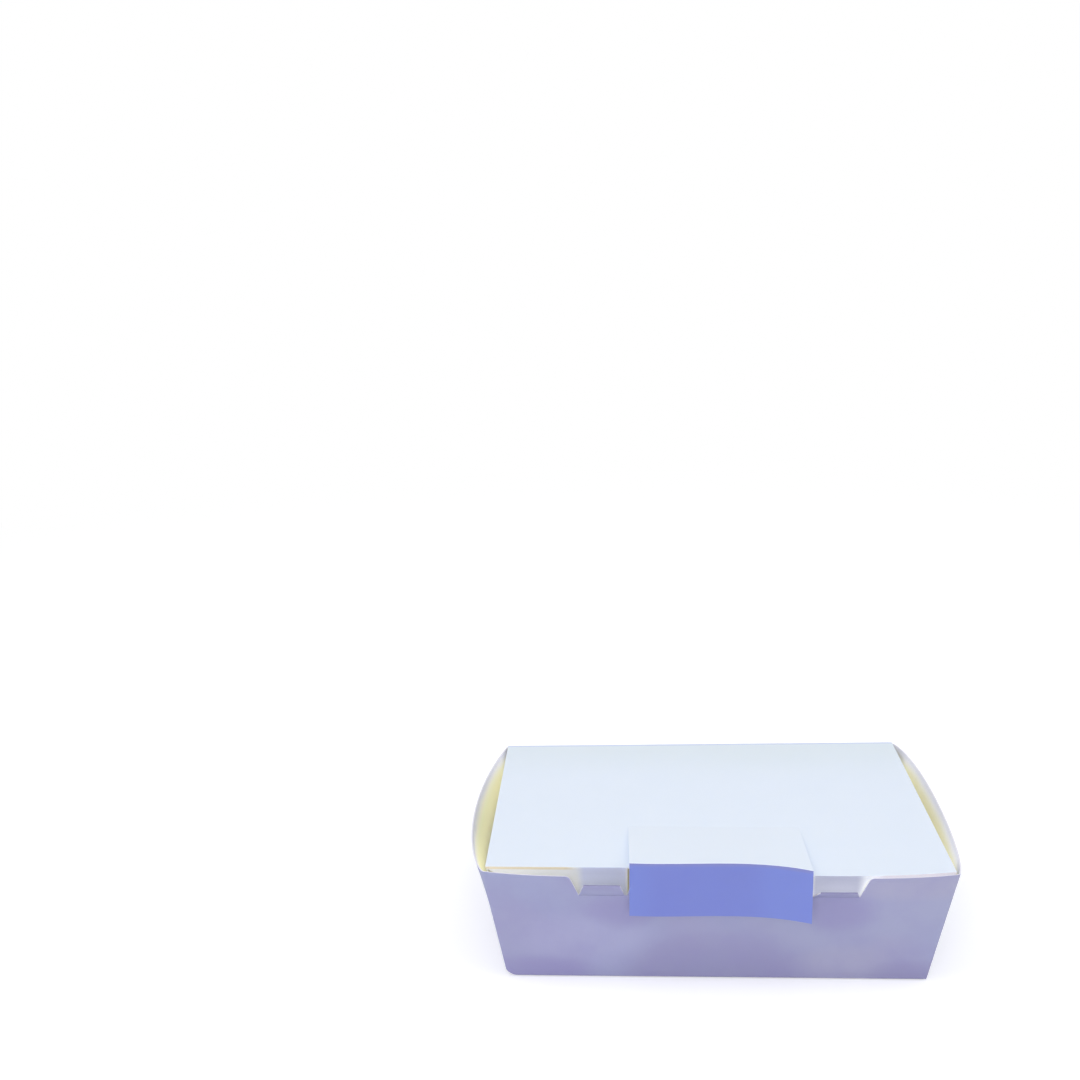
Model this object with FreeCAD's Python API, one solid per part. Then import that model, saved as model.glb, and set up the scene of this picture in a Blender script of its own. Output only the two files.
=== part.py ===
"""Takeout food box of thin folded board: a tray and its hinged lid, shown closed.

The tray is one creased blank with flared walls, glued inside its corners. The lid is
hinged along the back rim. Its side wings and the two halves of its front flap tuck
inside the tray, and its tongue passes over the front wall and hangs outside.

Millimetres. The origin is the centre of the underside of the base, +Z is up, the
front wall faces -Y and the hinge runs along X.
"""
import FreeCAD
import Part

import math
import os

from FreeCAD import Vector

# Board, its crisp folds, made of a few flats, and the soft fold at the lower left
board = 0.5
inner_fold_radius = 0.5
fold_flats = 3
soft_fold_radius = 7.5

# Places that the curve of the front rim passes through, and the room kept outside the bowed walls
# by the planes that round the folds of the base
front_steps = 8
view_margin = 0.8

# Share of its two pulls by which a pulled curve stands out in the middle
pull_share = 0.375

# Two places nearer than this are one
same_place = 1e-6

# Tray, outside sizes
rim_length = 180.0
rim_depth = 130.0
base_length = 166.0
base_depth = 117.0
tray_height = 48.5

# The box is a little out of true: the right end of the back rim lies farther back than its middle,
# and the front corners of rim and lid stand out to the sides
back_skew = 3.0
left_corner_out = 1.6
right_corner_out = 2.2

# Front rim: how far its middle stands out from the line of its corners, and how full its curve is
front_bulge = 3.6
front_fullness = 6

# Side rims: how far their curve is pulled out near the front and near the back, and how far along
left_pull = (8.2, 13.6)
left_pull_share = (0.11, 0.44)
right_pull = (6.2, 10.2)
right_pull_share = (0.1, 0.15)

# Glue tabs folded from the side walls onto the inside of the front and back walls
glue_tab_width = 15.0
glue_tab_slope = 5.0
glue_tab_round = 2.0
glue_tab_above_base = 5.5
glue_tab_below_rim = 2.5

# Lock: the tongue of the lid and the notches of the front wall beside it
tongue_width = 69.8
tongue_shift = 0.5
tongue_length = 22.2
tongue_rise = 5.2
tongue_reach = 3.3
tongue_swing = 2.9
tongue_dip = 1.3
tongue_straight = 0.68
ramp_run = 44.0
slit = 0.6
notch_depth = 8.8
notch_flare = 3.8
notch_round = 2.2
ear_root = 18.0
ear_inset = 2.0
left_ear_lean = 32.0
right_ear_lean = 46.0
middle_setback = 2.4
crease_depth = 0.12
crease_reach = 0.25

# Lid
hinge_end_clearance = 0.6
side_clearance = 0.6
flap_clearance = 0.9
left_flap_setback = 2.2
flap_length = 23.0
flap_lean = 13.5
flap_end_inset = 4.5
flap_end_slope = 6.0
flap_shoulder = 4.0
flap_shoulder_round = 1.5
flap_round = 5.0
wing_depth = 14.0
wing_back_run = 15.0
wing_round = 7.0
wing_rear_clearance = 1.5

# Values worked out from the sizes above
half_rim_length = rim_length / 2
half_rim_depth = rim_depth / 2
half_base_length = base_length / 2
half_base_depth = base_depth / 2
left_bulge = pull_share * sum(left_pull)
right_bulge = pull_share * sum(right_pull)
side_lean = math.degrees(math.atan((half_rim_length - half_base_length) / tray_height))
front_lean = math.degrees(math.atan((half_rim_depth - half_base_depth) / tray_height))
tongue_left = tongue_shift - tongue_width / 2
tongue_right = tongue_shift + tongue_width / 2
inner_notch = tongue_width / 2 + abs(tongue_shift) + slit
outer_notch = inner_notch + ear_root
notch_floor = tray_height - notch_depth
lid_top = tray_height + board
down = Vector(0, 0, -1)
back = Vector(0, 1, 0)


def across(lean):
    """Width of the board measured along the ground when it leans by this angle."""
    return board / math.cos(math.radians(lean))


def trimmed(curve, trim):
    """Edge along a curve, cut short by trim at both ends."""
    edge = curve.toShape()
    first = edge.getParameterByLength(trim)
    last = edge.getParameterByLength(edge.Length - trim)
    return Part.Edge(curve, first, last)


def pulled(start, end, pull, share):
    """Curve of a side rim, pulled out to the right of its way near its start and near its end."""
    way = end - start
    outward = way.cross(Vector(0, 0, 1)).normalize()
    curve = Part.BezierCurve()
    curve.setPoles([start, start + way * share[0] + outward * pull[0],
                    end - way * share[1] + outward * pull[1], end])
    return curve


def front_curve(height, inset=0.0):
    """Outline of the front wall at a height, seen from above, moved in by inset."""
    left, right = front_end(-1, height) + inset, front_end(1, height) - inset
    places = [left + (right - left) * step / front_steps for step in range(front_steps + 1)]
    curve = Part.BSplineCurve()
    curve.interpolate([Vector(x, rim_front(x, height) + inset, height) for x in places])
    return curve


def ring(height, inset, bowed, rounding):
    """Closed outline of the walls at one height, moved in by inset, anticlockwise from above."""
    front_left, front_right = front_end(-1, height) + inset, front_end(1, height) - inset
    left, right = -wall_end(height) + inset, wall_end(height) - inset
    corners = [Vector(front_left, rim_front(front_left, height) + inset, height),
               Vector(front_right, rim_front(front_right, height) + inset, height),
               Vector(right, back_wall(right, height) - inset, height),
               Vector(left, back_wall(left, height) - inset, height)]
    ends = corners[1:] + corners[:1]
    curves = [Part.LineSegment(start, end) for start, end in zip(corners, ends)]
    if bowed:
        curves[0] = front_curve(height, inset)
        curves[1] = pulled(corners[1], corners[2], right_pull, right_pull_share)
        curves[3] = pulled(corners[3], corners[0], left_pull[::-1], left_pull_share[::-1])
    sides = [trimmed(curve, rounding) for curve in curves]
    edges = []
    for corner, side, following in zip(ends, sides, sides[1:] + sides[:1]):
        leaves, enters = side.Vertexes[-1].Point, following.Vertexes[0].Point
        middle = corner + ((leaves + enters) / 2 - corner) * (2 - math.sqrt(2))
        fold = Part.Arc(leaves, middle, enters).toShape().discretize(fold_flats + 1)
        edges += [side] + [Part.makeLine(a, b) for a, b in zip(fold, fold[1:])]
    return Part.Wire(edges)


def outline(corners, place):
    """Closed flat outline of (u, v, rounding) corners, set in space by place(u, v)."""
    flat = [Vector(u, v, 0) for u, v, rounding in corners]
    starts, ends, middles = [], [], []
    for i, (u, v, rounding) in enumerate(corners):
        here = flat[i]
        to_last = (flat[i - 1] - here).normalize()
        to_next = (flat[(i + 1) % len(flat)] - here).normalize()
        half = to_last.getAngle(to_next) / 2
        run = rounding / math.tan(half)
        starts.append(here + to_last * run)
        ends.append(here + to_next * run)
        towards_centre = (to_last + to_next).normalize() if rounding else Vector()
        middles.append(here + towards_centre * (rounding / math.sin(half) - rounding))
    edges = []
    for i, (u, v, rounding) in enumerate(corners):
        if rounding:
            points = [place(p.x, p.y) for p in (starts[i], middles[i], ends[i])]
            edges.append(Part.Arc(*points).toShape())
        following = starts[(i + 1) % len(corners)]
        if (following - ends[i]).Length > same_place:
            edges.append(Part.makeLine(place(ends[i].x, ends[i].y), place(following.x, following.y)))
    return Part.Face(Part.Wire(edges))


def seen_from_front(corners, near, far):
    """Prism whose outline is given as (x, z, rounding), between two places along Y."""
    return outline(corners, lambda x, z: Vector(x, near, z)).extrude(back * (far - near))


def seen_from_side(corners, near, far):
    """Prism whose outline is given as (y, z, rounding), between two places along X."""
    return outline(corners, lambda y, z: Vector(near, y, z)).extrude(Vector(far - near, 0, 0))


def flared_block(inset, floor, corner_round, soft_round):
    """Block inside the outer faces of the walls by inset, with rounded folds, from floor to rim."""
    low_length = wall_end(floor) - inset
    low_depth = -rim_front(wall_end(floor), floor) - inset
    low = ring(floor, inset, False, corner_round)
    high = ring(tray_height, inset, True, corner_round)
    block = Part.makeLoft([low, high], True, True)
    rise = tray_height - floor
    top = tray_height + rise

    def far_out(half_low, half_high, bulge):
        """Where a plane just outside a wall at its most bowed reaches at twice the height."""
        return half_low + 2 * (half_high - inset + bulge + view_margin - half_low)

    front_view = [(-low_length, floor, soft_round), (low_length, floor, corner_round),
                  (far_out(low_length, half_rim_length, right_bulge + right_corner_out), top, 0),
                  (-far_out(low_length, half_rim_length, left_bulge + left_corner_out), top, 0)]
    side_view = [(-low_depth, floor, corner_round), (low_depth, floor, corner_round),
                 (far_out(low_depth, half_rim_depth, back_skew), top, 0),
                 (-far_out(low_depth, half_rim_depth, front_bulge), top, 0)]
    block = block.common(seen_from_front(front_view, -rim_depth, rim_depth))
    return block.common(seen_from_side(side_view, -rim_length, rim_length))


def tray_shell():
    """Base and four walls at the thickness of the board."""
    outside = flared_block(0.0, 0.0, inner_fold_radius + board, soft_fold_radius + board)
    inside = flared_block(across(side_lean), board, inner_fold_radius, soft_fold_radius)
    return outside.cut(inside)


def wall_end(height):
    """Half length of the front and back walls at a height."""
    return half_base_length + (half_rim_length - half_base_length) * height / tray_height


def corner_out(side):
    return left_corner_out if side < 0 else right_corner_out


def front_end(side, height):
    """Place of a front corner of the walls, left or right of the middle, at a height."""
    return side * (wall_end(height) + corner_out(side) * height / tray_height)


def rim_front(x, height=tray_height):
    """Outer face of the front wall at a distance from the middle and at a height."""
    share = height / tray_height
    depth = half_base_depth + (half_rim_depth - half_base_depth) * share
    return -depth - front_bulge * share * (1 - abs(x / wall_end(height)) ** front_fullness)


def back_wall(x, height=tray_height):
    """Outer face of the back wall at a distance from the middle and at a height."""
    share = height / tray_height
    depth = half_base_depth + (half_rim_depth - half_base_depth) * share
    return depth + back_skew * share * x / wall_end(height)


def strip(low_edge, high_edge, lean):
    """Leaning strip of board between two edges of its outer face, the board lying behind it."""
    return Part.makeRuledSurface(low_edge, high_edge).extrude(back * across(lean))


def hinged_root(x, lean):
    """Start of a bent strip: on its own plane, a little below and behind the crease at the notch floor."""
    y = rim_front(x, notch_floor) + crease_depth
    return Vector(x, y + crease_reach * math.tan(math.radians(lean)), notch_floor - crease_reach)


def wall_strip(front, first, last):
    """Layer along the whole front or back wall, between two distances in from its outer face."""
    low_y = rim_front(half_base_length, 0) if front else back_wall(0, 0)
    low = Part.makeLine(Vector(-half_base_length, low_y, 0), Vector(half_base_length, low_y, 0))
    if front:
        high = front_curve(tray_height).toShape()
    else:
        ends = [Vector(x, back_wall(x), tray_height) for x in (-half_rim_length, half_rim_length)]
        high = Part.makeLine(*ends)
    inward = back if front else back * -1
    layer = Part.makeRuledSurface(low, high).extrude(inward * (last - first))
    layer.translate(inward * first)
    return layer


def glue_tabs():
    """Four tabs of the side walls, glued flat to the inside of the front and back walls."""
    low, high = glue_tab_above_base, tray_height - glue_tab_below_rim
    tabs = []
    for front in (True, False):
        layer = wall_strip(front, board / 2, 2 * board)
        for side in (-1, 1):
            ends = [abs(front_end(side, z)) if front else wall_end(z) for z in (low, high)]
            low_x, high_x = [end - board / 2 for end in ends]
            corners = [(side * low_x, low, 0),
                       (side * (low_x - glue_tab_width), low + glue_tab_slope, glue_tab_round),
                       (side * (high_x - glue_tab_width), high - glue_tab_slope, glue_tab_round),
                       (side * high_x, high, 0)]
            tabs.append(layer.common(seen_from_front(corners, -rim_depth, rim_depth)))
    return tabs


def notched_opening():
    """What is cut from the front wall above the notch floor, with flared and rounded mouths."""
    rim, above = tray_height, tray_height + notch_depth
    mouth = outer_notch + notch_flare
    beyond = mouth + notch_flare
    corners = [(-outer_notch, notch_floor, 0), (outer_notch, notch_floor, 0), (mouth, rim, notch_round),
               (beyond, rim, 0), (beyond, above, 0), (-beyond, above, 0), (-beyond, rim, 0),
               (-mouth, rim, notch_round)]
    return seen_from_front(corners, -rim_depth, 0)


def ear(side, lean_out):
    """Small ear of the front wall between two notches, bent outwards from its root."""
    lean = front_lean + lean_out
    rise = notch_depth / math.cos(math.radians(front_lean))
    up = rise * math.cos(math.radians(lean))
    out = rise * math.sin(math.radians(lean))
    near, far = sorted((side * inner_notch, side * outer_notch))
    low = Part.makeLine(hinged_root(near, lean), hinged_root(far, lean))
    tip_y = crease_depth - out
    high = Part.makeLine(Vector(near + ear_inset, rim_front(near, notch_floor) + tip_y, notch_floor + up),
                         Vector(far - ear_inset, rim_front(far, notch_floor) + tip_y, notch_floor + up))
    return strip(low, high, lean)


def middle_of_front():
    """Middle of the front wall between the inner notches, pressed back by the tongue."""
    low_x = inner_notch - slit
    low = Part.Arc(*[hinged_root(x, 0) for x in (-low_x, 0, low_x)]).toShape()
    top_x = inner_notch - notch_flare
    top_y = rim_front(top_x) + middle_setback
    high = Part.makeLine(Vector(-top_x, top_y, tray_height), Vector(top_x, top_y, tray_height))
    return strip(low, high, front_lean)


def make_tray():
    tray = tray_shell().fuse(glue_tabs())
    tray = tray.cut(notched_opening())
    parts = [ear(-1, left_ear_lean), ear(1, right_ear_lean), middle_of_front()]
    return tray.fuse(parts).removeSplitter()


def lid_half_length():
    return half_rim_length - across(side_lean) - side_clearance


def flap_crease(side, x):
    """Place of the front crease of the lid: straight on the left, along the bowed rim on the right."""
    behind_wall = across(front_lean) + flap_clearance
    if side < 0:
        return -half_rim_depth + behind_wall + left_flap_setback
    return rim_front(x) + behind_wall


def lid_corner(side):
    """Place of a front corner of the lid, left or right of the middle."""
    return side * (lid_half_length() + corner_out(side))


def crease_edge(side, z):
    """Front crease of the lid on one side of the tongue, from left to right."""
    ends = (lid_corner(-1), tongue_left + board / 2)
    if side > 0:
        ends = (tongue_right - board / 2, lid_corner(1))
    points = [Vector(x, flap_crease(side, x), z) for x in (ends[0], sum(ends) / 2, ends[1])]
    if side < 0:
        return Part.makeLine(points[0], points[2])
    return Part.Arc(*points).toShape()


def lid_panel():
    """Flat panel of the lid, open at the front where the tongue rises from it."""
    hinge_end = half_rim_length - hinge_end_clearance
    back_left = Vector(-hinge_end, back_wall(-hinge_end), tray_height)
    back_right = Vector(hinge_end, back_wall(hinge_end), tray_height)
    left = crease_edge(-1, tray_height)
    right = crease_edge(1, tray_height)
    notch = [left.Vertexes[-1].Point, Vector(tongue_left + board / 2, ramp_root(), tray_height),
             Vector(tongue_right - board / 2, ramp_root(), tray_height), right.Vertexes[0].Point]
    path = [left]
    path += [Part.makeLine(a, b) for a, b in zip(notch, notch[1:])]
    path += [right, Part.makeLine(right.Vertexes[-1].Point, back_right),
             Part.makeLine(back_right, back_left), Part.makeLine(back_left, left.Vertexes[0].Point)]
    return Part.Face(Part.Wire(path)).extrude(Vector(0, 0, board))


def ramp_root():
    return -half_rim_depth - tongue_reach + ramp_run


def tongue():
    """Tongue: a ramp up from the panel, a fold in front of the rim and a straight drop."""
    fold_y = -half_rim_depth - tongue_reach
    fold_z = tray_height + tongue_rise
    width = tongue_right - tongue_left
    bend = tongue_left + width * tongue_straight
    fold = Part.BSplineCurve()
    fold.interpolate([Vector(tongue_left, fold_y, fold_z), Vector((tongue_left + bend) / 2, fold_y, fold_z),
                      Vector(bend, fold_y, fold_z),
                      Vector(tongue_right, fold_y - tongue_swing, fold_z - tongue_dip)])
    fold = fold.toShape()
    root = Part.makeLine(Vector(tongue_left, ramp_root(), tray_height),
                         Vector(tongue_right, ramp_root(), tray_height))
    ramp = Part.makeRuledSurface(root, fold).extrude(Vector(0, 0, board))
    fold.translate(Vector(0, 0, board))
    drop = fold.extrude(down * tongue_length).extrude(back * board)
    seat = Part.makeBox(width, board, board, Vector(tongue_left, ramp_root() - board / 2, tray_height))
    cheeks = [cheek(tongue_left, -1, fold_y, fold_z),
              cheek(tongue_right - board, 1, fold_y - tongue_swing, fold_z - tongue_dip)]
    return [ramp, drop, seat] + cheeks


def cheek(x, side, fold_y, fold_z):
    """Folded side of the ramp, which closes it from its root to the crease of the lid."""
    front = flap_crease(side, x)
    share = (front - ramp_root()) / (fold_y - ramp_root())
    top = tray_height + (fold_z - tray_height) * share + board / 2
    corners = [(ramp_root(), tray_height, 0), (front, tray_height, 0), (front, top, 0)]
    return seen_from_side(corners, x, x + board)


def flap(side):
    """One half of the front flap, leaning back from its crease, with a sloped and rounded end."""
    near = abs(tongue_left) + slit if side < 0 else tongue_right + slit
    far = abs(lid_corner(side)) - board
    lean = math.radians(flap_lean)
    hang = Vector(0, math.sin(lean), -math.cos(lean)) * flap_length
    board_piece = crease_edge(side, lid_top).extrude(hang).extrude(back * across(flap_lean))
    low = lid_top + hang.z
    root = lid_half_length() - flap_end_inset
    shoulder = tray_height - flap_shoulder
    corners = [(side * near, lid_top + board, 0), (side * far, lid_top + board, 0),
               (side * far, tray_height - board, 0), (side * root, shoulder, flap_shoulder_round),
               (side * (root - flap_end_slope), low, flap_round), (side * near, low, 0)]
    return board_piece.common(seen_from_front(corners, -rim_depth, 0))


def wing(side):
    """Side wing of the lid, folded down inside the side wall, with a curved and a sloped end."""
    lean = math.radians(side_lean)
    front = flap_crease(side, lid_corner(side))
    rear = back_wall(side * lid_half_length()) - wing_rear_clearance
    crease = Part.makeLine(Vector(lid_corner(side), front, lid_top),
                           Vector(side * lid_half_length(), rear, lid_top))
    hang = Vector(-side * math.sin(lean), 0, -math.cos(lean)) * wing_depth
    inward = Vector(-side * across(side_lean), 0, 0)
    low = lid_top + hang.z
    corners = [(front, lid_top + board, 0), (front, tray_height, 0), (front + wing_depth, low, wing_round),
               (rear - wing_back_run, low, wing_round), (rear, tray_height, 0), (rear, lid_top + board, 0)]
    piece = crease.extrude(hang).extrude(inward)
    return piece.common(seen_from_side(corners, -rim_length, rim_length))


def make_lid():
    pieces = tongue() + [flap(-1), flap(1), wing(-1), wing(1)]
    return lid_panel().fuse(pieces).removeSplitter()


os.makedirs("parts", exist_ok=True)
for name, shape in (("tray", make_tray()), ("lid", make_lid())):
    print(name, "valid", shape.isValid(), "solids", len(shape.Solids), "faces", len(shape.Faces),
          "volume", round(shape.Volume, 1))
    shape.exportStep("parts/" + name + ".step")
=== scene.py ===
"""Takeout food box of thin board, closed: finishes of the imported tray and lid, studio and camera."""
import math

import bpy
from mathutils import Matrix, Vector

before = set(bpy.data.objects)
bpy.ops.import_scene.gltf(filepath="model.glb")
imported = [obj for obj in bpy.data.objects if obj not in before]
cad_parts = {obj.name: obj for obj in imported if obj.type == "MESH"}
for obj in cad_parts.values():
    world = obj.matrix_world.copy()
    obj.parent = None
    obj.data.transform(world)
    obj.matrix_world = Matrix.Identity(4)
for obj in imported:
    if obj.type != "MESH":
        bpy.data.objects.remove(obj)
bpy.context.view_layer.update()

MM = 0.001

# Places on the box in the frame of the solids, all in metres except the skew, which is a slope
RIM_HEIGHT = 48.5 * MM
HALF_RIM_DEPTH = 65 * MM
HINGE_SKEW = 3.0 / 90
LID_TOP = RIM_HEIGHT + 0.5 * MM
TRAY_CENTRE = 24 * MM
LID_CENTRE = 20 * MM
TONGUE_MIDDLE = 0.5 * MM
TONGUE_HALF_WIDTH = 34.9 * MM
TONGUE_FRONT = -67.6 * MM
TONGUE_TOP = 54.2 * MM
TONGUE_DIP = 1.3 * MM
RAMP_ROOT = -24.3 * MM

# Camera, fitted to the corners of the box in the photograph
CAMERA_PLACE = (-41.04 * MM, -607.13 * MM, 322.33 * MM)
CAMERA_PITCH = 0.25393
CAMERA_TURN = 0.04778
CAMERA_ROLL = -0.01506
FOCAL_PIXELS = 1534.4
FRAME_PIXELS = 1080
SENSOR = 36.0

# Lamps as name, place, size in metres and power in watts, all turned to one place in the box
LAMPS = (
    ("above", (0, -0.1, 1.4), 1.8, 3.8),
    ("left", (-1.0, -0.25, 1.1), 1.1, 3.2),
    ("right", (1.0, -0.25, 1.1), 1.1, 3.0),
    ("front", (-0.2, -1.4, 0.7), 1.0, 6.2),
)
LAMP_TARGET = (0, 0, 0.03)
AMBIENT_COLOUR = (0.96, 0.975, 1.0, 1)
AMBIENT_LEVEL = 0.62
WHITE = (1, 1, 1, 1)

# Floor: its size and drop in metres, its tone, and the distances over which it turns plain white
FLOOR_HALF = 4.0
FLOOR_DROP = 0.2 * MM
FLOOR_GREY = (0.88, 0.88, 0.88, 1)
FLOOR_LIFT = 0.3
FLOOR_FADES = (0.35, 0.9)


class Tree:
    """A material or world node tree, with short calls for the nodes used here."""

    def __init__(self, owner):
        owner.use_nodes = True
        self.nodes = owner.node_tree.nodes
        self.links = owner.node_tree.links
        self.nodes.clear()

    def add(self, kind, **settings):
        node = self.nodes.new(kind)
        for key, value in settings.items():
            setattr(node, key, value)
        return node

    def put(self, socket, value):
        """Link the socket where the value is another socket, else set it."""
        if isinstance(value, bpy.types.NodeSocket):
            self.links.new(value, socket)
        else:
            socket.default_value = value

    def math(self, operation, *values):
        node = self.add("ShaderNodeMath", operation=operation)
        for socket, value in zip(node.inputs, values):
            self.put(socket, value)
        return node.outputs[0]

    def ramp(self, value, low, high):
        """0 below low, 1 above high, smooth between."""
        node = self.add("ShaderNodeMapRange", interpolation_type="SMOOTHSTEP")
        self.put(node.inputs["Value"], value)
        node.inputs["From Min"].default_value = low
        node.inputs["From Max"].default_value = high
        return node.outputs["Result"]

    def fall(self, value, low, high):
        """1 below low, 0 above high, smooth between."""
        return self.rest(self.ramp(value, low, high))

    def rest(self, share):
        """What is left of 1."""
        return self.math("SUBTRACT", 1.0, share)

    def mix(self, share, first, second):
        """The first colour where the share is 0 and the second where it is 1."""
        node = self.add("ShaderNodeMix", data_type="RGBA")
        self.put(node.inputs[0], share)
        self.put(node.inputs[6], first)
        self.put(node.inputs[7], second)
        return node.outputs[2]

    def noise(self, place, scale, detail, roughness=0.5, distortion=0.0):
        node = self.add("ShaderNodeTexNoise")
        self.put(node.inputs["Vector"], place)
        node.inputs["Scale"].default_value = scale
        node.inputs["Detail"].default_value = detail
        node.inputs["Roughness"].default_value = roughness
        node.inputs["Distortion"].default_value = distortion
        return node.outputs["Fac"]

    def product(self, *values):
        """All values multiplied: of shares, 1 only where each of them is 1."""
        result = values[0]
        for value in values[1:]:
            result = self.math("MULTIPLY", result, value)
        return result

    def finish(self, kind, surface):
        """Link a surface to the output node of a material or world."""
        end = self.add(kind)
        self.links.new(surface, end.inputs["Surface"])


def colour(red, green, blue):
    """Linear colour from the 0 to 255 values of a picture."""
    def linear(level):
        level /= 255
        return level / 12.92 if level <= 0.04045 else ((level + 0.055) / 1.055) ** 2.4
    return (linear(red), linear(green), linear(blue), 1.0)


def place_and_normal(tree):
    """The place on the object, and the components of that place and of the surface's normal."""
    source = tree.add("ShaderNodeTexCoord")
    place = tree.add("ShaderNodeSeparateXYZ")
    tree.links.new(source.outputs["Object"], place.inputs[0])
    facing = tree.add("ShaderNodeSeparateXYZ")
    tree.links.new(source.outputs["Normal"], facing.inputs[0])
    return source.outputs["Object"], place.outputs, facing.outputs


# The board turns from its inner to its outer side where the measure of outward() passes this span
SIDE_CHANGE = (-2 * MM, 2 * MM)


def outward(tree, place, facing, centre_height):
    """Positive on the outer side of the board and negative on its inner side."""
    x = tree.math("MULTIPLY", place[0], facing[0])
    y = tree.math("MULTIPLY", place[1], facing[1])
    z = tree.math("MULTIPLY", tree.math("SUBTRACT", place[2], centre_height), facing[2])
    return tree.math("ADD", tree.math("ADD", x, y), z)


def enclosed(tree, reach):
    """How much of the surroundings within reach is shut off, from 0 to 1."""
    sky = tree.add("ShaderNodeAmbientOcclusion", samples=4)
    sky.inputs["Distance"].default_value = reach
    return tree.rest(sky.outputs["AO"])


# Relief of the board: noise per metre, how strong it shows, and its depth in metres
FIBRE_SCALE = 1400
FIBRE_SHARE = 0.35
GRAIN_SCALE = (90, 700, 700)
GRAIN_SHARE = 0.65
RELIEF_STRENGTH = 0.12
RELIEF_DEPTH = 0.06 * MM
WAVE_SCALE = 28
WAVE_STRENGTH = 0.25
WAVE_DEPTH = 0.8 * MM

# Gloss: the roughness where the board is glossiest, and how far it spreads above that
TRAY_GLOSS = 0.42
LID_GLOSS = 0.40
GLOSS_SCALE = 60
GLOSS_SPREAD = 0.14

# Values of the board's shader that are the same all over
SHADER_VALUES = {
    "Specular IOR Level": 0.3,
    "Subsurface Weight": 0.4,
    "Subsurface Radius": (1.0, 0.95, 0.85),
    "Subsurface Scale": 0.9 * MM,
}

# Painted light: a glow of the board's own colour, standing in for light that passes the thin board, in
# narrow gaps and inside the box, and the reach of each
GAP_GLOW = 0.5
GAP_REACH = 8 * MM
BOX_GLOW = 0.11
BOX_REACH = 90 * MM


def bump(tree, height, strength, distance, normal=None):
    node = tree.add("ShaderNodeBump")
    node.inputs["Strength"].default_value = strength
    node.inputs["Distance"].default_value = distance
    tree.links.new(height, node.inputs["Height"])
    if normal:
        tree.links.new(normal, node.inputs["Normal"])
    return node.outputs[0]


def board_finish(tree, base, coordinates, gloss, in_gap, is_in):
    """Coated board: soft fibres, faint waves from pressing, slightly uneven gloss.

    Painted light: a glow of the base colour stands in for light that passes the thin board,
    in narrow gaps where in_gap is 1 and inside the closed box where is_in is 1.
    """
    fibres = tree.noise(coordinates, scale=FIBRE_SCALE, detail=4, roughness=0.65)
    stretched = tree.add("ShaderNodeMapping")
    stretched.inputs["Scale"].default_value = GRAIN_SCALE
    tree.links.new(coordinates, stretched.inputs["Vector"])
    grain = tree.noise(stretched.outputs[0], scale=1, detail=3)
    waves = tree.noise(coordinates, scale=WAVE_SCALE, detail=1)
    height = tree.math("ADD", tree.math("MULTIPLY", fibres, FIBRE_SHARE),
                       tree.math("MULTIPLY", grain, GRAIN_SHARE))
    relief = bump(tree, height, RELIEF_STRENGTH, RELIEF_DEPTH)
    broad = bump(tree, waves, WAVE_STRENGTH, WAVE_DEPTH, relief)

    shader = tree.add("ShaderNodeBsdfPrincipled")
    tree.put(shader.inputs["Base Color"], base)
    uneven = tree.noise(coordinates, scale=GLOSS_SCALE, detail=2)
    tree.put(shader.inputs["Roughness"], tree.math("MULTIPLY_ADD", uneven, GLOSS_SPREAD, gloss))
    for name, value in SHADER_VALUES.items():
        shader.inputs[name].default_value = value
    tree.links.new(broad, shader.inputs["Normal"])

    # Painted light: the base colour glows, more where more of the surroundings is shut off
    shut = enclosed(tree, BOX_REACH)
    painted_glow = tree.math("ADD", tree.product(enclosed(tree, GAP_REACH), in_gap, GAP_GLOW),
                        tree.product(shut, shut, is_in, BOX_GLOW))
    tree.put(shader.inputs["Emission Color"], base)
    tree.put(shader.inputs["Emission Strength"], painted_glow)
    tree.finish("ShaderNodeOutputMaterial", shader.outputs[0])


# Mottling of every colour of the board
MOTTLE_SCALE = 45
MOTTLE_SPAN = (0.35, 0.75)
MOTTLE_SHARE = 0.35


def speckle(tree, coordinates, base, other):
    """A faint soft mottling of a second colour over the first."""
    mottling = tree.noise(coordinates, scale=MOTTLE_SCALE, detail=4, roughness=0.6)
    share = tree.math("MULTIPLY", tree.ramp(mottling, *MOTTLE_SPAN), MOTTLE_SHARE)
    return tree.mix(share, base, other)


# Colours of the tray's inner side, and the spans of depth and distance over which they change: the rim,
# left, right, back and yellow tones are painted light and shade, the low cream is the board's own
LEFT_INSIDE = colour(246, 242, 218)
LEFT_BAND_SHADE = colour(250, 243, 200)
RIGHT_INSIDE = colour(223, 219, 197)
RIGHT_BAND_SHADE = colour(218, 211, 172)
INSIDE_RIM_SHADE = colour(220, 219, 228)
INSIDE_LOW = colour(236, 232, 214)
INSIDE_MOTTLE = colour(228, 221, 196)
INSIDE_WANDER = 2 * MM
RIM_FADES = (1.5 * MM, 6 * MM)
BAND_BEGINS = (3 * MM, 9 * MM)
BAND_ENDS = (11 * MM, 22 * MM)
SIDE_WALLS = (78 * MM, 88 * MM)
LEFT_TO_RIGHT = (-60 * MM, 60 * MM)
TO_BACK = (0.0, 50 * MM)
BACK_SHARE = 0.9


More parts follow.
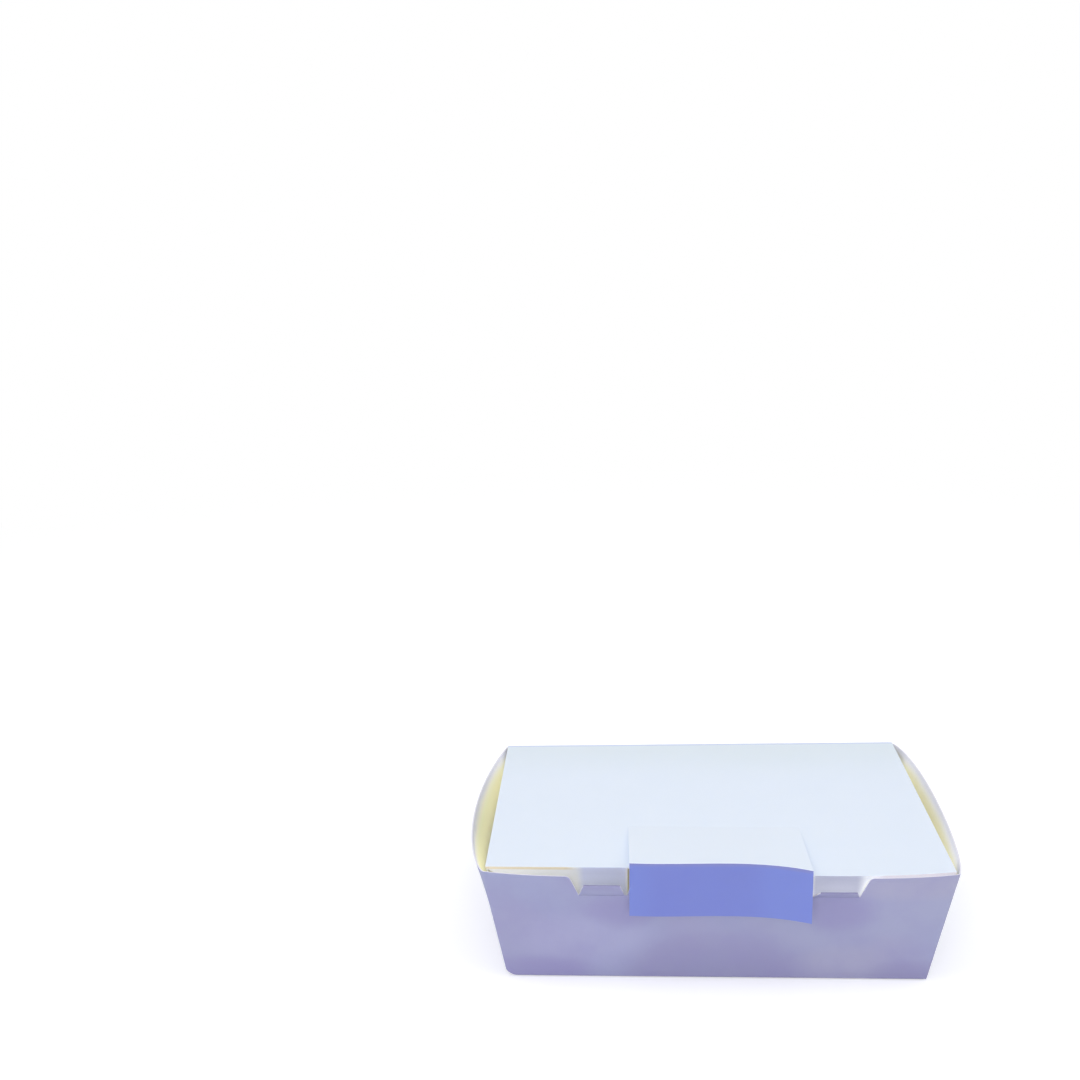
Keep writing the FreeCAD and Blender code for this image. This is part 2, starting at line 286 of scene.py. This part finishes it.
def inside_colour(tree, coordinates, place):
    """Uncoated cream inner side of the tray, with painted light and shade: greyish along the rim, yellow
    bounce light and shade below it on the side walls, darker on the right and at the back.
    """
    depth = tree.math("SUBTRACT", RIM_HEIGHT, place[2])
    wander = tree.math("MULTIPLY", tree.noise(coordinates, scale=60, detail=2), INSIDE_WANDER)
    depth = tree.math("ADD", depth, wander)
    # Painted shade: the right side wall and the back darker than the left
    at_right = tree.ramp(place[0], *LEFT_TO_RIGHT)
    at_back = tree.math("MULTIPLY", tree.ramp(place[1], *TO_BACK), BACK_SHARE)
    right_shade_share = tree.math("MAXIMUM", at_right, at_back)
    shallow = tree.mix(right_shade_share, LEFT_INSIDE, RIGHT_INSIDE)
    band = tree.mix(right_shade_share, LEFT_BAND_SHADE, RIGHT_BAND_SHADE)
    low = speckle(tree, coordinates, INSIDE_LOW, INSIDE_MOTTLE)
    # Painted shade and yellow bounce light below the rim on the side walls
    cream = tree.mix(tree.ramp(depth, *BAND_BEGINS), shallow, band)
    on_side = tree.ramp(tree.math("ABSOLUTE", place[0]), *SIDE_WALLS)
    cream = tree.mix(tree.product(on_side, tree.fall(depth, *BAND_ENDS)), low, cream)
    # Painted shade along the rim
    return tree.mix(tree.fall(depth, *RIM_FADES), cream, INSIDE_RIM_SHADE)


# Colours of the tray's outer side: painted shade, the white board in the lavender of its shaded walls
TRAY_OUTSIDE = colour(164, 164, 199)
TRAY_BLUE = colour(163, 167, 201)
TRAY_LIGHT = colour(175, 175, 210)
TRAY_PURPLE = colour(150, 145, 191)
TRAY_LOW = colour(147, 143, 183)
TRAY_GREY = colour(175, 174, 199)

# Spans of the noise that blends the blue and the grey in, and of the normal that faces the front
BLUE_SPAN = (0.42, 0.62)
GREY_SPAN = (0.45, 0.7)
GREY_SHARE = 0.3
FACES_FRONT = (0.3, 0.6)
PATCH_SHADE_SHARE = 0.6
PATCH_SHADE_WANDER = 0.5

# Painted shade and light of the faintly uneven front wall, in soft patches: tone, place (x, z) and reach
# (x, z), in mm
FRONT_LIGHT_AND_SHADE = (
    (TRAY_LIGHT, (-50, 18), (32, 19)),
    (TRAY_PURPLE, (-70, 2), (30, 10)),
    (TRAY_PURPLE, (-38, 33), (18, 11)),
    (TRAY_LOW, (2, 4), (48, 22)),
    (TRAY_PURPLE, (46, 34), (20, 14)),
    (TRAY_GREY, (50, 7), (24, 12)),
    (TRAY_LOW, (76, 1), (22, 10)),
    (TRAY_GREY, (78, 44), (38, 8)),
)


def patch(tree, place, at, reach, wander):
    """1 at a place (x, z) of the front, falling softly to 0 at its reach to the side and up."""
    across = tree.math("DIVIDE", tree.math("SUBTRACT", place[0], at[0] * MM), reach[0] * MM)
    upward = tree.math("DIVIDE", tree.math("SUBTRACT", place[2], at[1] * MM), reach[1] * MM)
    far = tree.math("ADD", tree.product(across, across), tree.product(upward, upward))
    return tree.fall(tree.math("ADD", far, wander), 0.0, 1.0)


def front_colour(tree, coordinates, place, facing):
    """Outer side in the lavender painted shade of the white board, uneven, with painted shade and light in
    soft patches on the front wall.
    """
    big = tree.noise(coordinates, scale=16, detail=2, distortion=0.6)
    other = tree.noise(coordinates, scale=11, detail=1, distortion=0.3)
    # Painted shade: the lavender tones of the white board's outer side
    tone = tree.mix(tree.ramp(big, *BLUE_SPAN), TRAY_OUTSIDE, TRAY_BLUE)
    tone = tree.mix(tree.math("MULTIPLY", tree.ramp(other, *GREY_SPAN), GREY_SHARE), tone, TRAY_GREY)
    centred = tree.math("SUBTRACT", tree.noise(coordinates, scale=30, detail=2), 0.5)
    wander = tree.math("MULTIPLY", centred, PATCH_SHADE_WANDER)
    on_front = tree.ramp(tree.math("MULTIPLY", facing[1], -1.0), *FACES_FRONT)
    # Painted shade and light patches on the front wall
    for painted_tone, at, reach in FRONT_LIGHT_AND_SHADE:
        share = tree.product(patch(tree, place, at, reach, wander), on_front, PATCH_SHADE_SHARE)
        tone = tree.mix(share, tone, painted_tone)
    return speckle(tree, coordinates, tone, TRAY_PURPLE)


# Cut edges of the tray: the rim by its normal and height, the sides of the notches by their normal
CUT_EDGE = colour(228, 226, 236)
FACES_UP = (0.8, 0.9)
RIM_TOP = (RIM_HEIGHT - 2 * MM, RIM_HEIGHT - 1 * MM)
FACES_SIDEWAYS = (0.7, 0.8)
NOTCHES_END = (76 * MM, 77 * MM)

# Upper edge of the ears, which lie lower than the rim: painted shade along it
EAR_EDGE_SHADE = colour(128, 125, 168)
EAR_FACES_UP = (0.45, 0.6)
EAR_BEGINS = (43 * MM, 44 * MM)
EAR_ENDS = (54 * MM, 55 * MM)

# Upper side walls beside the lid, where painted light glows in the gaps
UPPER_WALL = (RIM_HEIGHT - 24 * MM, RIM_HEIGHT - 16 * MM)
WALL_DEPTH_ENDS = (48 * MM, 60 * MM)
WALL_SIDE_BEGINS = (80 * MM, 84 * MM)


def tray_material():
    material = bpy.data.materials.new("tray_board")
    tree = Tree(material)
    coordinates, place, facing = place_and_normal(tree)
    outside = front_colour(tree, coordinates, place, facing)
    is_out = tree.ramp(outward(tree, place, facing, TRAY_CENTRE), *SIDE_CHANGE)
    base = tree.mix(is_out, inside_colour(tree, coordinates, place), outside)
    to_side = tree.math("ABSOLUTE", place[0])
    rim = tree.product(tree.ramp(facing[2], *FACES_UP), tree.ramp(place[2], *RIM_TOP))
    sides = tree.product(tree.ramp(tree.math("ABSOLUTE", facing[0]), *FACES_SIDEWAYS),
                         tree.fall(to_side, *NOTCHES_END))
    base = tree.mix(tree.math("MAXIMUM", rim, sides), base, CUT_EDGE)
    # Painted shade along the upper edge of the ears
    on_ear = tree.product(tree.ramp(facing[2], *EAR_FACES_UP), tree.ramp(place[2], *EAR_BEGINS),
                          tree.fall(to_side, *EAR_ENDS))
    base = tree.mix(on_ear, base, EAR_EDGE_SHADE)
    # Painted light: where the inner side walls glow beside the lid
    beside_lid = tree.product(tree.ramp(place[2], *UPPER_WALL),
                              tree.fall(tree.math("ABSOLUTE", place[1]), *WALL_DEPTH_ENDS),
                              tree.ramp(to_side, *WALL_SIDE_BEGINS))
    is_in = tree.rest(is_out)
    board_finish(tree, base, coordinates, TRAY_GLOSS, tree.product(is_in, beside_lid), is_in)
    return material


# Colours of the lid panel, with painted shade along the hinge fold and painted light on the ramp, and the
# spans over which they change
LID_OUTSIDE = colour(227, 236, 252)
LID_SHADE = colour(224, 234, 250)
RAMP_PAINTED_LIGHT = colour(230, 239, 255)
LID_BACK = colour(221, 231, 238)
LID_HINGE_SHADE = colour(207, 216, 243)
LID_INSIDE = colour(238, 237, 230)
LID_INSIDE_SHADE = colour(233, 231, 218)
LID_WANDER = 30 * MM
BACK_BEGINS = (30 * MM, 80 * MM)
LID_BACK_SHARE = 0.8
HINGE_SHADE_ENDS = (0.5 * MM, 2.2 * MM)
RAMP_BEGINS = (RAMP_ROOT - 1 * MM, RAMP_ROOT + 1 * MM)
RAMP_SIDE_ENDS = (TONGUE_HALF_WIDTH - 0.2 * MM, TONGUE_HALF_WIDTH + 0.2 * MM)


def lid_top_colour(tree, coordinates, place, from_middle):
    """Blue-white coating of the lid, greyer at the back, with painted shade along the hinge fold and
    painted light on the ramp.
    """
    tone = speckle(tree, coordinates, LID_OUTSIDE, LID_SHADE)
    wander = tree.math("MULTIPLY", tree.noise(coordinates, scale=12, detail=2), LID_WANDER)
    at_back = tree.ramp(tree.math("ADD", place[1], wander), *BACK_BEGINS)
    tone = tree.mix(tree.math("MULTIPLY", at_back, LID_BACK_SHARE), tone, LID_BACK)
    hinge = tree.math("ADD", HALF_RIM_DEPTH, tree.math("MULTIPLY", place[0], HINGE_SKEW))
    from_hinge = tree.math("SUBTRACT", hinge, place[1])
    on_ramp = tree.product(tree.fall(place[1], *RAMP_BEGINS), tree.fall(from_middle, *RAMP_SIDE_ENDS))
    # Painted light on the ramp, evening out its shading
    tone = tree.mix(on_ramp, tone, RAMP_PAINTED_LIGHT)
    # Painted shade along the hinge fold
    return tree.mix(tree.fall(from_hinge, *HINGE_SHADE_ENDS), tone, LID_HINGE_SHADE)


# Colours of the front flap, and the spans over which they change: the white is the board's own, the tan,
# the right part's grey and the tones behind the ears are painted light and shade
FLAP_OUTSIDE = colour(228, 230, 236)
RIGHT_FLAP_SHADE = colour(215, 212, 220)
FLAP_CREASE = colour(224, 213, 192)
LEFT_NOTCH_FLAP = colour(208, 214, 244)
RIGHT_NOTCH_FLAP = colour(184, 187, 208)
CREASE_ENDS = (0.9 * MM, 1.6 * MM)
LEFT_CREASE_ENDS = (-60 * MM, -54 * MM)
RIGHT_FLAP_BEGINS = (58 * MM, 64 * MM)
NOTCH_BEGINS = (TONGUE_HALF_WIDTH, TONGUE_HALF_WIDTH + 2 * MM)
NOTCH_ENDS = (52 * MM, 56 * MM)
LEFT_TO_RIGHT_NOTCH = (-10 * MM, 10 * MM)


def flap_colour(tree, coordinates, place, from_middle):
    """Front flap: white, with tan painted shade under its crease on the left, grey painted shade on its
    right part, and painted light and shade behind the ears.
    """
    depth = tree.math("SUBTRACT", LID_TOP, place[2])
    at_left = tree.fall(place[0], *LEFT_CREASE_ENDS)
    crease = tree.product(tree.fall(depth, *CREASE_ENDS), at_left)
    tone = speckle(tree, coordinates, FLAP_OUTSIDE, LID_SHADE)
    # Painted shade on the right part of the flap
    tone = tree.mix(tree.ramp(place[0], *RIGHT_FLAP_BEGINS), tone, RIGHT_FLAP_SHADE)
    tone = tree.mix(crease, tone, FLAP_CREASE)
    in_notch = tree.product(tree.ramp(from_middle, *NOTCH_BEGINS), tree.fall(from_middle, *NOTCH_ENDS))
    # Painted light and shade behind the ears
    behind_ear_light_and_shade = tree.mix(tree.ramp(place[0], *LEFT_TO_RIGHT_NOTCH), LEFT_NOTCH_FLAP, RIGHT_NOTCH_FLAP)
    return tree.mix(in_notch, tone, behind_ear_light_and_shade)


# Colours of the tongue's face, all painted: the white board's deep shade in blue-violet, painted light
# towards its ends and painted shade along its fold, and the spans over which they change
TONGUE_SHADE = colour(124, 135, 207)
TONGUE_LIGHT = colour(126, 140, 212)
TONGUE_FOLD_SHADE = colour(137, 140, 196)
RIGHT_LIGHT_BEGINS = (10 * MM, 22 * MM)
LEFT_LIGHT_ENDS = (-34 * MM, -22 * MM)
DIP_BEGINS = (12 * MM, 36 * MM)
FOLD_SHADE_ENDS = (0.2 * MM, 1.6 * MM)
FOLD_SHADE_SHARE = 0.8
TONGUE_SIDE_ENDS = (TONGUE_HALF_WIDTH + 0.2 * MM, TONGUE_HALF_WIDTH + 0.3 * MM)
TONGUE_FRONT_ENDS = (TONGUE_FRONT, TONGUE_FRONT + 0.2 * MM)
FLAP_FACES_FRONT = (0.5, 0.7)


def tongue_colour(tree, coordinates, place):
    """Blue-violet painted shade on the tongue's white face, with painted light towards its two ends and
    painted shade along its fold.
    """
    # Painted light towards the tongue's two ends
    light = tree.math("ADD", tree.ramp(place[0], *RIGHT_LIGHT_BEGINS),
                      tree.fall(place[0], *LEFT_LIGHT_ENDS))
    tone = tree.mix(light, TONGUE_SHADE, TONGUE_LIGHT)
    tone = speckle(tree, coordinates, tone, TONGUE_LIGHT)
    dip = tree.math("MULTIPLY", tree.ramp(place[0], *DIP_BEGINS), TONGUE_DIP)
    depth = tree.math("SUBTRACT", tree.math("SUBTRACT", TONGUE_TOP, dip), place[2])
    # Painted shade along the tongue's fold
    return tree.mix(tree.math("MULTIPLY", tree.fall(depth, *FOLD_SHADE_ENDS), FOLD_SHADE_SHARE), tone, TONGUE_FOLD_SHADE)


def lid_material():
    material = bpy.data.materials.new("lid_board")
    tree = Tree(material)
    coordinates, place, facing = place_and_normal(tree)
    from_middle = tree.math("ABSOLUTE", tree.math("SUBTRACT", place[0], TONGUE_MIDDLE))
    top = lid_top_colour(tree, coordinates, place, from_middle)
    front_face = tree.ramp(tree.math("MULTIPLY", facing[1], -1.0), *FLAP_FACES_FRONT)
    outside = tree.mix(front_face, top, flap_colour(tree, coordinates, place, from_middle))
    on_tongue = tree.product(front_face, tree.fall(from_middle, *TONGUE_SIDE_ENDS),
                             tree.fall(place[1], *TONGUE_FRONT_ENDS))
    # The tongue's blue-violet face is painted shade
    outside = tree.mix(on_tongue, outside, tongue_colour(tree, coordinates, place))
    is_out = tree.ramp(outward(tree, place, facing, LID_CENTRE), *SIDE_CHANGE)
    inside = speckle(tree, coordinates, LID_INSIDE, LID_INSIDE_SHADE)
    base = tree.mix(is_out, inside, outside)
    # Painted light: the flap's front face glows in the gaps, the lid's inner side inside the closed box
    on_flap = tree.product(front_face, tree.rest(on_tongue), is_out)
    board_finish(tree, base, coordinates, LID_GLOSS, on_flap, tree.rest(is_out))
    return material


def floor_material():
    """Pale floor, white where nothing shades it, that runs out into the white behind it."""
    material = bpy.data.materials.new("floor_white")
    tree = Tree(material)
    diffuse = tree.add("ShaderNodeBsdfDiffuse")
    diffuse.inputs["Color"].default_value = FLOOR_GREY
    lift = tree.add("ShaderNodeEmission")
    seen = tree.add("ShaderNodeLightPath").outputs["Is Camera Ray"]
    tree.put(lift.inputs["Strength"], tree.math("MULTIPLY", seen, FLOOR_LIFT))
    near = tree.add("ShaderNodeAddShader")
    tree.links.new(diffuse.outputs[0], near.inputs[0])
    tree.links.new(lift.outputs[0], near.inputs[1])
    far = tree.add("ShaderNodeEmission")
    place = tree.add("ShaderNodeTexCoord").outputs["Object"]
    length = tree.add("ShaderNodeVectorMath", operation="LENGTH")
    tree.links.new(place, length.inputs[0])
    blend = tree.add("ShaderNodeMixShader")
    tree.put(blend.inputs[0], tree.ramp(length.outputs["Value"], *FLOOR_FADES))
    tree.links.new(near.outputs[0], blend.inputs[1])
    tree.links.new(far.outputs[0], blend.inputs[2])
    tree.finish("ShaderNodeOutputMaterial", blend.outputs[0])
    return material


def add_floor():
    corners = [(x * FLOOR_HALF, y * FLOOR_HALF, 0) for x, y in ((-1, -1), (1, -1), (1, 1), (-1, 1))]
    mesh = bpy.data.meshes.new("floor")
    mesh.from_pydata(corners, [], [(0, 1, 2, 3)])
    floor = bpy.data.objects.new("floor", mesh)
    bpy.context.scene.collection.objects.link(floor)
    floor.location.z = -FLOOR_DROP
    mesh.materials.append(floor_material())


def add_world():
    """White to the camera, and a slightly cool light to everything else."""
    world = bpy.data.worlds.new("studio")
    bpy.context.scene.world = world
    tree = Tree(world)
    path = tree.add("ShaderNodeLightPath")
    ambient = tree.add("ShaderNodeBackground")
    ambient.inputs["Color"].default_value = AMBIENT_COLOUR
    ambient.inputs["Strength"].default_value = AMBIENT_LEVEL
    white = tree.add("ShaderNodeBackground")
    white.inputs["Color"].default_value = WHITE
    blend = tree.add("ShaderNodeMixShader")
    tree.put(blend.inputs[0], path.outputs["Is Camera Ray"])
    tree.links.new(ambient.outputs[0], blend.inputs[1])
    tree.links.new(white.outputs[0], blend.inputs[2])
    tree.finish("ShaderNodeOutputWorld", blend.outputs[0])


def add_lamp(name, place, size, power):
    lamp = bpy.data.lights.new(name, "AREA")
    lamp.shape = "DISK"
    lamp.size = size
    lamp.energy = power
    holder = bpy.data.objects.new(name, lamp)
    bpy.context.scene.collection.objects.link(holder)
    holder.location = place
    aim = Vector(LAMP_TARGET) - Vector(place)
    holder.rotation_euler = aim.to_track_quat("-Z", "Y").to_euler()


def add_camera():
    data = bpy.data.cameras.new("camera")
    data.sensor_width = SENSOR
    data.lens = FOCAL_PIXELS / FRAME_PIXELS * SENSOR
    holder = bpy.data.objects.new("camera", data)
    bpy.context.scene.collection.objects.link(holder)
    turned = Matrix.Rotation(CAMERA_TURN, 4, "Z") @ Matrix.Rotation(math.pi / 2 - CAMERA_PITCH, 4, "X")
    rolled = turned @ Matrix.Rotation(CAMERA_ROLL, 4, "Z")
    holder.matrix_world = Matrix.Translation(CAMERA_PLACE) @ rolled
    bpy.context.scene.camera = holder


def use(node, material):
    """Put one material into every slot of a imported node."""
    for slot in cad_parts[node].material_slots:
        slot.material = material


use("tray", tray_material())
use("lid", lid_material())
add_floor()
add_world()
for lamp_values in LAMPS:
    add_lamp(*lamp_values)
add_camera()
bpy.context.scene.view_settings.view_transform = "Standard"
